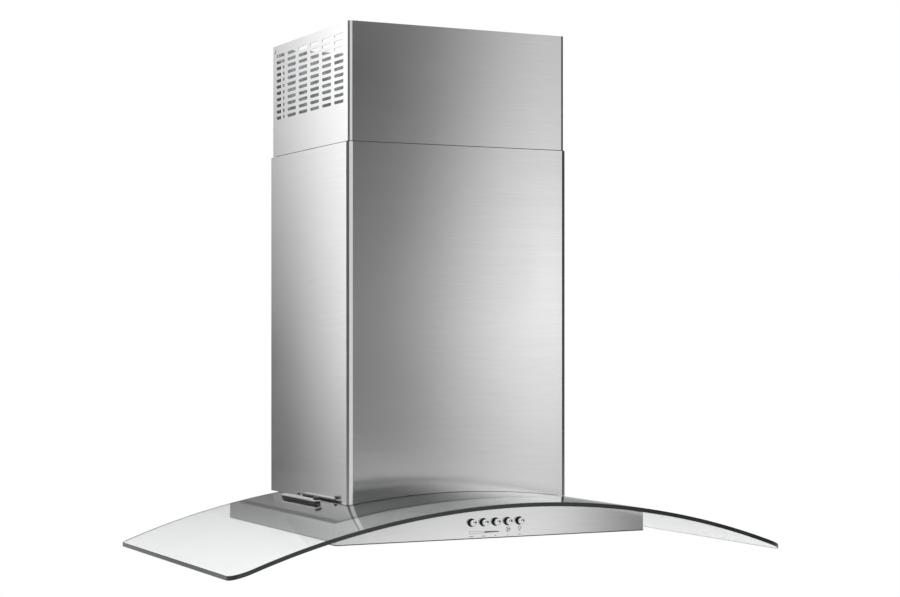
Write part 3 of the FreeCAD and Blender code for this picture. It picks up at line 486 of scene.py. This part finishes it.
def canopy_glass():
    """The bent sheet: two fine faces, a ground rim painted near black as painted shade, with broken
    edges, and the blower's notch.
    """
    half, front, rear = GLASS_HIGH.x, GLASS_LOW.y, GLASS_HIGH.y
    outline = rounded([
        (-half, front, FRONT_ROUND), (half, front, FRONT_ROUND), (half, rear, REAR_ROUND),
        (NOTCH_HALF, rear, 0), (NOTCH_HALF, NOTCH_FRONT, 0), (-NOTCH_HALF, NOTCH_FRONT, 0),
        (-NOTCH_HALF, rear, 0), (-half, rear, REAR_ROUND)])
    work = bmesh.new()
    work.faces.new([work.verts.new((x, y, 0)) for x, y in outline])
    strips = 120
    for k in range(1, strips):
        everything = work.verts[:] + work.edges[:] + work.faces[:]
        bmesh.ops.bisect_plane(work, geom=everything, dist=1e-6, plane_no=(1, 0, 0),
                               plane_co=(-half + 2 * half * k / strips, 0, 0))
    work.verts.index_update()
    flat = [v.co.copy() for v in work.verts]
    count = len(flat)
    faces = [[v.index for v in face.verts] for face in work.faces]
    rim = [edge for edge in work.edges if len(edge.link_faces) == 1]
    sides = []
    for edge in rim:
        loop = edge.link_loops[0]
        a, b = loop.vert.index, loop.link_loop_next.vert.index
        sides.append([a, a + count, b + count, b])
    work.free()
    verts = [(p.x, p.y, glass_level(p.x)) for p in flat]
    verts += [(p.x, p.y, glass_level(p.x, GLASS_THICK)) for p in flat]
    below = [[i + count for i in reversed(face)] for face in faces]
    # The rim faces take the near-black painted-shade material.
    sheet = made("canopy_glass", verts, faces + below + sides, "canopy_glass",
                 materials=[FINISHES["canopy_glass"], GLASS_RIM_SHADE])
    first_side = 2 * len(faces)
    for polygon in sheet.data.polygons:
        polygon.material_index = 1 if polygon.index >= first_side else 0
    outwards(sheet)
    softened(sheet, 0.0006, 2, 60.0)
    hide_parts("glass_canopy")


canopy_glass()


# ---- push buttons and the control print ----

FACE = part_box("canopy_shell")[0].y


def button_piece(node):
    """One push button: a black shank in its guide, and a chromed cap with a domed end."""
    low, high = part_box(node)
    centre = ((low.x + high.x) / 2, 0.0, (low.z + high.z) / 2)
    radius = (high.x - low.x) / 2
    tip = low.y
    cap = FACE - 0.0042
    profile = [(0, high.y), (0.0021, high.y), (0.0025, high.y - 0.0004), (0.0025, FACE + 0.0046),
               (radius - 0.0006, FACE + 0.0042), (radius - 0.0003, FACE + 0.0038),
               (radius - 0.0003, cap),
               (radius - 0.0001, cap - 0.00005), (radius, cap - 0.0002), (radius, tip + 0.0022),
               (radius - 0.00012, tip + 0.0016), (radius - 0.0006, tip + 0.0010)]
    dome = 8
    for k in range(dome + 1):
        lean = math.pi / 2 * k / dome
        profile.append(((radius - 0.0009) * math.cos(lean), tip + 0.0008 * (1 - math.sin(lean))))
    verts, faces = turned(profile, centre)
    piece = made(node.replace("button", "push"), verts, faces, "button_chrome", node, smooth=50.0,
                 materials=[FINISHES["button_chrome"], SHANK_BLACK])
    for polygon in piece.data.polygons:
        if polygon.center.y > cap:
            polygon.material_index = 1
    outwards(piece)
    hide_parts(node)


def button_collars():
    """A low black collar round each button, pressed on the face of the canopy."""
    shapes = []
    for node in sorted(n for n in NODES if n.startswith("button_")):
        low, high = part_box(node)
        centre = ((low.x + high.x) / 2, 0.0, (low.z + high.z) / 2)
        inner, outer = 0.00525, 0.0063
        profile = [(inner, FACE + 0.0002), (outer, FACE + 0.0002), (outer, FACE - 0.0005),
                   (outer - 0.0003, FACE - 0.0009), (inner + 0.0002, FACE - 0.0009),
                   (inner, FACE - 0.0006), (inner, FACE + 0.0002)]
        shapes.append(turned(profile, centre))
    outwards(made("button_collars", *gather(*shapes), "black_plastic", materials=[SHANK_BLACK]))


for name in sorted(n for n in NODES if n.startswith("button_")):
    button_piece(name)
button_collars()


def disc(x, z, radius, steps=32):
    """Outline of a round dot."""
    turns = [2 * math.pi * k / steps for k in range(steps)]
    return [(x + radius * math.cos(turn), z + radius * math.sin(turn)) for turn in turns]


def line(a, b, width):
    """Outline of a straight printed line."""
    along = Vector((b[0] - a[0], b[1] - a[1])).normalized()
    side = Vector((-along.y, along.x)) * width / 2
    a, b = Vector(a), Vector(b)
    return [tuple(a + side), tuple(a - side), tuple(b - side), tuple(b + side)]


def ring_lines(x, z, radius, width, start=0.0, end=360.0, steps=28):
    """A printed arc as short lines."""
    turns = [math.radians(start + (end - start) * k / steps) for k in range(steps + 1)]
    points = [(x + radius * math.cos(turn), z + radius * math.sin(turn)) for turn in turns]
    return [line(a, b, width) for a, b in zip(points, points[1:])]


def control_print():
    """Printed marks under the buttons: a speed wedge, a fan, a lamp and speed dots."""
    ink = 0.0005
    row, dot = -0.1466, 0.0009
    wedge = [(-0.043, -0.1389), (0.0055, -0.1402), (0.0055, -0.1412), (-0.043, -0.1424)]
    shapes = [line(a, b, ink) for a, b in zip(wedge, wedge[1:] + wedge[:1])]
    middle = -0.018
    share = (middle - wedge[0][0]) / (wedge[1][0] - wedge[0][0])
    top = wedge[0][1] + (wedge[1][1] - wedge[0][1]) * share
    bottom = wedge[3][1] + (wedge[2][1] - wedge[3][1]) * share
    shapes.append([(middle, top), wedge[1], wedge[2], (middle, bottom)])
    fan = (0.0214, -0.1382)
    shapes += ring_lines(*fan, 0.0037, ink)
    for turn in (90, 210, 330):
        blade = []
        for k in range(9):
            angle = math.radians(turn + 74 * k / 8)
            reach = 0.0031 * math.sin(math.pi * (0.12 + 0.80 * k / 8)) ** 0.5
            blade.append((fan[0] + reach * math.cos(angle), fan[1] + reach * math.sin(angle)))
        shapes.append([fan] + blade)
    lamp = (0.0406, -0.1370)
    shapes += ring_lines(*lamp, 0.0020, 0.0006, -60.0, 240.0)
    shapes.append([(lamp[0] - 0.0010, lamp[1] - 0.0018), (lamp[0] - 0.0010, lamp[1] - 0.0038),
                   (lamp[0] + 0.0010, lamp[1] - 0.0038), (lamp[0] + 0.0010, lamp[1] - 0.0018)])
    for turn in (0, 45, 90, 135, 180):
        ray = (math.cos(math.radians(turn)), math.sin(math.radians(turn)))
        shapes.append(line((lamp[0] + 0.0028 * ray[0], lamp[1] + 0.0028 * ray[1]),
                           (lamp[0] + 0.0040 * ray[0], lamp[1] + 0.0040 * ray[1]), ink))
    for x, dots in ((-0.040, 3), (-0.020, 2), (0.0, 1)):
        for k in range(dots):
            shapes.append(disc(x + 0.0026 * (k - (dots - 1) / 2), row, dot, 20))
    shapes += ring_lines(0.0204, row, dot, 0.0004, steps=16)
    shapes.append(line((0.0386, row), (0.0426, row), 0.0008))
    proud = 0.00004
    verts, faces = gather(*[slab(shape, FACE - proud, FACE + proud) for shape in shapes])
    outwards(made("control_print", verts, faces, "black_plastic", materials=[PRINT]))


control_print()


# ---- grease filters ----

def expanded_mesh(node, body):
    """A panel of slit and stretched aluminium: zigzag strands in diamonds, in two layers."""
    low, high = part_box(node)
    pitch_x, pitch_y = 0.0070, 0.0035
    strand, thick = 0.0005, 0.00045
    verts, faces = [], []
    columns = int((high.x - low.x) / pitch_x)
    rows = int((high.y - low.y) / pitch_y)
    step = (high.x - low.x) / columns / 2
    for layer, level in ((0, low.z + 0.00035), (1, high.z - 0.0008)):
        for row in range(rows + 1):
            base = low.y + (high.y - low.y) * row / rows
            swing = 1 if (row + layer) % 2 else -1
            start = len(verts)
            for k in range(2 * columns + 1):
                x = low.x + step * k
                lean = (1 if k % 2 else -1) * swing
                y = min(max(base + lean * pitch_y / 2, low.y + strand), high.y - strand)
                tilt = lean * 0.0003
                verts += [(x, y - strand, level + tilt), (x, y + strand, level - tilt),
                          (x, y + strand, level - tilt + thick),
                          (x, y - strand, level + tilt + thick)]
            for k in range(2 * columns):
                a, b = start + 4 * k, start + 4 * k + 4
                for side in range(4):
                    after = (side + 1) % 4
                    faces.append([a + side, a + after, b + after, b + side])
            last = start + 8 * columns
            faces.append([start + 3, start + 2, start + 1, start])
            faces.append([last, last + 1, last + 2, last + 3])
    piece = made(node.replace("filter_mesh", "expanded_mesh"), verts, faces, "mesh_aluminium", body,
                 smooth=20.0)
    outwards(piece)
    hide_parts(node)


for side in ("left", "right"):
    expanded_mesh(f"filter_mesh_{side}", f"filter_{side}")


# ---- lamps ----

def lamp_lenses():
    """The two frosted lenses under the canopy, each with fine rings pressed into its lower face."""
    low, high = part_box("lamp_lenses")
    radius = (high.y - low.y) / 2
    aside = high.x - radius
    rim = radius - 0.0006
    ribs, steps = 14, 4
    lenses = []
    for x in (-aside, aside):
        profile = [(0, high.z), (radius, high.z), (radius, low.z + 0.0004)]
        for k in range(ribs * steps, -1, -1):
            wave = 0.00018 * (1 - math.cos(2 * math.pi * k / steps + 0.1))
            profile.append((rim * k / (ribs * steps), low.z + wave))
        lenses.append(turned(profile, (x, (low.y + high.y) / 2, 0.0), "Z"))
    piece = made("ribbed_lenses", *gather(*lenses), "lens_glass")
    outwards(piece)
    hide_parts("lamp_lenses")


lamp_lenses()


# ---- small pieces at the foot of the chimney ----

def bar_block(x, y, z, size, turn=0.0):
    """Eight corners of a small block, turned about Y."""
    verts = []
    for sx, sy, sz in ((-1, -1, -1), (1, -1, -1), (1, 1, -1), (-1, 1, -1),
                       (-1, -1, 1), (1, -1, 1), (1, 1, 1), (-1, 1, 1)):
        dx, dz = sx * size[0] / 2, sz * size[2] / 2
        verts.append((x + dx * math.cos(turn) + dz * math.sin(turn), y + sy * size[1] / 2,
                      z - dx * math.sin(turn) + dz * math.cos(turn)))
    faces = [[0, 3, 2, 1], [4, 5, 6, 7], [0, 1, 5, 4], [1, 2, 6, 5], [2, 3, 7, 6], [3, 0, 4, 7]]
    return verts, faces


def foot_tabs():
    """Four rubber tabs that keep the lower cover's foot off the glass."""
    low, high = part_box("lower_cover")
    shapes = []
    for x in (low.x - 0.0006, high.x + 0.0006):
        for y in (-0.121, -0.268):
            shapes.append(bar_block(x, y, glass_level(x) + 0.0034, (0.0012, 0.0065, 0.0026)))
    piece = made("foot_tabs", *gather(*shapes), "black_rubber")
    softened(piece, 0.0004)


foot_tabs()


def clamp_pieces(side):
    """A flat bar with broken edges that holds the glass down, and its black knob in front."""
    node = f"glass_clamp_{side}"
    low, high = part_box(node)
    pad_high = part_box("clamp_pads")[1].z
    middle = (low.x + high.x) / 2
    knob_radius = 0.0055
    bar_half = 0.005
    bar_top = pad_high + 0.0032
    bar = bar_block(middle, (low.y + high.y) / 2, (pad_high + bar_top) / 2,
                    (2 * bar_half, high.y - low.y, bar_top - pad_high))
    piece = made(f"clamp_bar_{side}", *bar, "clamp_steel")
    softened(piece, 0.0009, 3)
    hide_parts(node)
    centre = (middle, low.y + knob_radius + 0.0005, 0.0)
    grip = [(0, bar_top - 0.0002), (knob_radius - 0.0012, bar_top - 0.0002),
            (knob_radius - 0.0006, bar_top + 0.0004), (knob_radius, bar_top + 0.0010),
            (knob_radius, high.z - 0.0008), (knob_radius - 0.0008, high.z), (0.0016, high.z),
            (0.0013, high.z - 0.0005), (0, high.z - 0.0005)]
    knob = made(f"clamp_knob_{side}", *turned(grip, centre, "Z"), "black_plastic",
                materials=[SHANK_BLACK])
    outwards(knob)


for side in ("left", "right"):
    clamp_pieces(side)


def shell_hem():
    """The folded hem along the foot of the canopy's front and sides, a touch proud of the sheet."""
    low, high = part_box("canopy_shell")
    proud, tall, sheet = 0.0003, 0.0016, 0.0010
    corner = 0.0025
    stations = [(-proud, low.z + 0.0003), (-proud - 0.0002, low.z + 0.0008),
                (-proud, low.z + tall - 0.0003), (0.0, low.z + tall), (sheet, low.z + tall),
                (sheet, low.z)]
    runs = []
    for inset, level in stations:
        half, front = high.x - inset, low.y + inset
        run = rounded([(-half, high.y - 0.001, 0), (-half, front, max(corner - inset, 0.0004)),
                       (half, front, max(corner - inset, 0.0004)), (half, high.y - 0.001, 0)])
        runs.append([(x, y, level) for x, y in run])
    count = len(runs[0])
    verts = [point for run in runs for point in run]
    faces = []
    for r in range(len(runs)):
        after = (r + 1) % len(runs)
        for k in range(count - 1):
            here, there = r * count + k, after * count + k
            faces.append([here, here + 1, there + 1, there])
    for k in (0, count - 1):
        faces.append([r * count + k for r in range(len(runs))])
    # The hem takes the deck's darkened steel: painted shade along the foot of the canopy.
    piece = made("shell_hem", verts, faces, "deck_steel")
    outwards(piece)


shell_hem()


def cover_gap_shade():
    """A black strip in the gap at the top of the lower cover: painted shade, a dark sheet put where
    the gap between the covers lies in shade.
    """
    low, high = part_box("lower_cover")
    upper_low, upper_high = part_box("upper_cover")
    sheet = 0.001
    outer_x, outer_y = high.x - sheet, low.y + sheet
    inner_x, inner_y = upper_high.x + 0.0002, upper_low.y - 0.0002
    bottom, top = high.z - 0.012, high.z + 0.0011
    outer_round = sheet + 0.006
    inner_round = outer_round - (inner_y - outer_y)
    section = []
    for half, front, bend in ((outer_x, outer_y, outer_round), (inner_x, inner_y, inner_round)):
        run = rounded([(-half, high.y - 0.02, 0), (-half, front, bend), (half, front, bend),
                       (half, high.y - 0.02, 0)])
        section.append(run)
    outer_run, inner_run = section
    verts = [(x, y, z) for z in (bottom, top) for run in (outer_run, inner_run) for x, y in run]
    count = len(outer_run)
    faces = []
    for k in range(count - 1):
        corners = [k, k + 1, k + 1 + count, k + count]
        faces.append(corners[::-1])
        faces.append([c + 2 * count for c in corners])
        faces.append([k, k + 1, k + 1 + 2 * count, k + 2 * count])
        faces.append([k + 1 + count, k + count, k + 3 * count, k + 1 + 3 * count])
    for k in (0, count - 1):
        faces.append([k, k + count, k + 3 * count, k + 2 * count])
    # The black strip is painted shade in the gap between the covers.
    piece = made("cover_gap_shade", verts, faces, "black_rubber", materials=[GAP_SHADE])
    outwards(piece)


cover_gap_shade()


# ---- floor, light and camera ----

FLOOR_RADIUS = 5.0
FLOOR_LEVEL = -1.0


def floor():
    """A plain pale floor well below the hood, clear from underneath to show the filters."""
    mesh = bpy.data.meshes.new("floor")
    work = bmesh.new()
    bmesh.ops.create_circle(work, cap_ends=True, segments=96, radius=FLOOR_RADIUS)
    work.to_mesh(mesh)
    work.free()
    slab_floor = bpy.data.objects.new("floor", mesh)
    slab_floor.location.z = FLOOR_LEVEL
    bpy.context.scene.collection.objects.link(slab_floor)
    material, tree, shader = new_finish("pale_floor", roughness=0.8)
    grain = use(tree, SPECKLE, Grain=60.0)
    tint(tree, grain["Tone"], (0.90, 0.90, 0.90), (0.93, 0.93, 0.93), shader)
    below = tree.nodes.new("ShaderNodeNewGeometry").outputs["Backfacing"]
    clear = tree.nodes.new("ShaderNodeBsdfTransparent")
    either = tree.nodes.new("ShaderNodeMixShader")
    tree.links.new(below, either.inputs["Fac"])
    tree.links.new(shader.outputs["BSDF"], either.inputs[1])
    tree.links.new(clear.outputs["BSDF"], either.inputs[2])
    tree.links.new(either.outputs["Shader"], tree.nodes["Material Output"].inputs["Surface"])
    mesh.materials.append(material)


# How bright the light tent is at each bearing, in degrees to the left of straight in front of
# the hood. The levels are for five heights, as the sine of the angle above level: two below
# level, level, one above it, and overhead.
TENT_HEIGHTS = (-0.107, -0.084, 0.0, 0.139, 0.5)
TENT = [
    (-180.0, (1.0, 0.80, 0.80, 0.15, 1.0)),
    (-150.0, (1.0, 0.70, 0.38, 0.10, 1.0)),
    (-145.0, (0.9, 0.03, 0.03, 0.03, 1.0)),
    (-110.0, (0.9, 0.06, 0.06, 0.06, 1.0)),
    (-90.0, (0.8, 0.14, 0.14, 0.14, 0.9)),
    (-60.0, (0.7, 0.03, 0.03, 0.03, 0.9)),
    (-32.0, (0.02, 0.02, 0.05, 0.04, 0.9)),
    (-31.1, (0.02, 0.20, 0.90, 0.50, 1.0)),
    (-30.3, (0.9, 1.10, 2.20, 1.25, 1.0)),
    (-29.0, (1.9, 0.80, 1.90, 1.00, 1.0)),
    (-27.5, (2.0, 0.36, 1.40, 0.64, 1.0)),
    (-26.3, (2.0, 0.14, 0.95, 0.30, 1.0)),
    (-25.3, (2.0, 0.03, 0.48, 0.13, 1.0)),
    (-24.2, (2.0, 0.0, 0.32, 0.08, 1.0)),
    (-22.5, (1.3, 0.0, 0.30, 0.07, 1.0)),
    (-13.0, (1.0, 0.15, 0.20, 0.15, 1.0)),
    (-10.0, (1.0, 1.00, 1.00, 1.00, 1.0)),
    (62.0, (1.0, 1.00, 1.00, 1.00, 1.0)),
    (68.0, (0.6, 0.04, 0.04, 0.04, 0.8)),
    (90.0, (0.6, 0.16, 0.16, 0.16, 0.9)),
    (122.0, (0.6, 0.16, 0.16, 0.16, 0.9)),
    (146.0, (0.6, 0.04, 0.04, 0.04, 0.8)),
    (150.0, (1.2, 1.00, 1.70, 2.00, 1.2)),
    (156.5, (1.2, 0.80, 1.75, 2.00, 1.2)),
    (157.7, (0.8, 0.08, 0.66, 1.65, 1.1)),
    (158.8, (0.6, 0.00, 0.03, 0.72, 1.0)),
    (162.0, (0.6, 0.00, 0.00, 0.22, 1.0)),
    (170.0, (1.0, 0.40, 0.40, 0.20, 1.0)),
    (180.0, (1.0, 0.80, 0.80, 0.15, 1.0)),
]
# Straight through the two faces of the glass the tent is this bright; a longer path doesn't count.
SEEN_THROUGH = 1.3
SHEET_DEPTH = 3.5
# Towards the ground, between these two heights, the tent turns to one even glow.
GROUND_GLOW = 0.95
GROUND_HEIGHTS = (-0.19, -0.12)


def mixed(tree, factor, first, second):
    """A colour between two colour outputs."""
    node = tree.nodes.new("ShaderNodeMix")
    node.data_type = "RGBA"
    tree.links.new(factor, node.inputs["Factor"])
    tree.links.new(first, node.inputs["A"])
    if isinstance(second, bpy.types.NodeSocket):
        tree.links.new(second, node.inputs["B"])
    else:
        node.inputs["B"].default_value = second
    return node.outputs["Result"]


def light_tent():
    """A white tent round the hood with dark flags in it, which draw the bends of the steel."""
    world = bpy.data.worlds.new("light_tent")
    bpy.context.scene.world = world
    world.use_nodes = True
    tree = world.node_tree
    way = tree.nodes.new("ShaderNodeTexCoord").outputs["Generated"]
    split = tree.nodes.new("ShaderNodeSeparateXYZ")
    tree.links.new(way, split.inputs["Vector"])
    left = sum_of(tree, split.outputs["X"], -1.0, "MULTIPLY")
    front = sum_of(tree, split.outputs["Y"], -1.0, "MULTIPLY")
    bearing = sum_of(tree, left, front, "ARCTAN2")
    turn = sum_of(tree, sum_of(tree, bearing, 1 / (2 * math.pi), "MULTIPLY"), 0.5)
    light = None
    for row, height in enumerate(TENT_HEIGHTS):
        ramp = tree.nodes.new("ShaderNodeValToRGB")
        tree.links.new(turn, ramp.inputs["Fac"])
        stops = ramp.color_ramp.elements
        while len(stops) < len(TENT):
            stops.new(0.5)
        for stop, (degrees, levels) in zip(stops, TENT):
            stop.position = degrees / 360 + 0.5
            stop.color = (levels[row], levels[row], levels[row], 1.0)
        if light is None:
            light = ramp.outputs["Color"]
        else:
            rise = spread(tree, split.outputs["Z"], TENT_HEIGHTS[row - 1], height, 0.0, 1.0)
            light = mixed(tree, rise, light, ramp.outputs["Color"])
    fall = spread(tree, split.outputs["Z"], *GROUND_HEIGHTS, 1.0, 0.0)
    light = mixed(tree, fall, light, (GROUND_GLOW,) * 3 + (1.0,))
    path = tree.nodes.new("ShaderNodeLightPath")
    near = sum_of(tree, path.outputs["Ray Depth"], SHEET_DEPTH, "LESS_THAN")
    through = sum_of(tree, path.outputs["Is Transmission Ray"], near, "MULTIPLY")
    light = mixed(tree, through, light, (SEEN_THROUGH,) * 3 + (1.0,))
    light = mixed(tree, path.outputs["Is Camera Ray"], light, (1.0, 1.0, 1.0, 1.0))
    tree.links.new(light, tree.nodes["Background"].inputs["Color"])


def camera():
    """The hood from the left front, a little above the glass."""
    data = bpy.data.cameras.new("camera")
    data.lens = 78.670
    data.sensor_width = 36.0
    data.shift_y = 0.03906
    data.clip_start = 0.05
    view = bpy.data.objects.new("camera", data)
    view.location = (-1.3516, -3.0294, 0.1533)
    view.rotation_euler = (math.radians(90.0), 0.0, math.radians(-26.2123))
    bpy.context.scene.collection.objects.link(view)
    bpy.context.scene.camera = view


floor()
light_tent()
camera()
bpy.context.scene.view_settings.view_transform = "Standard"
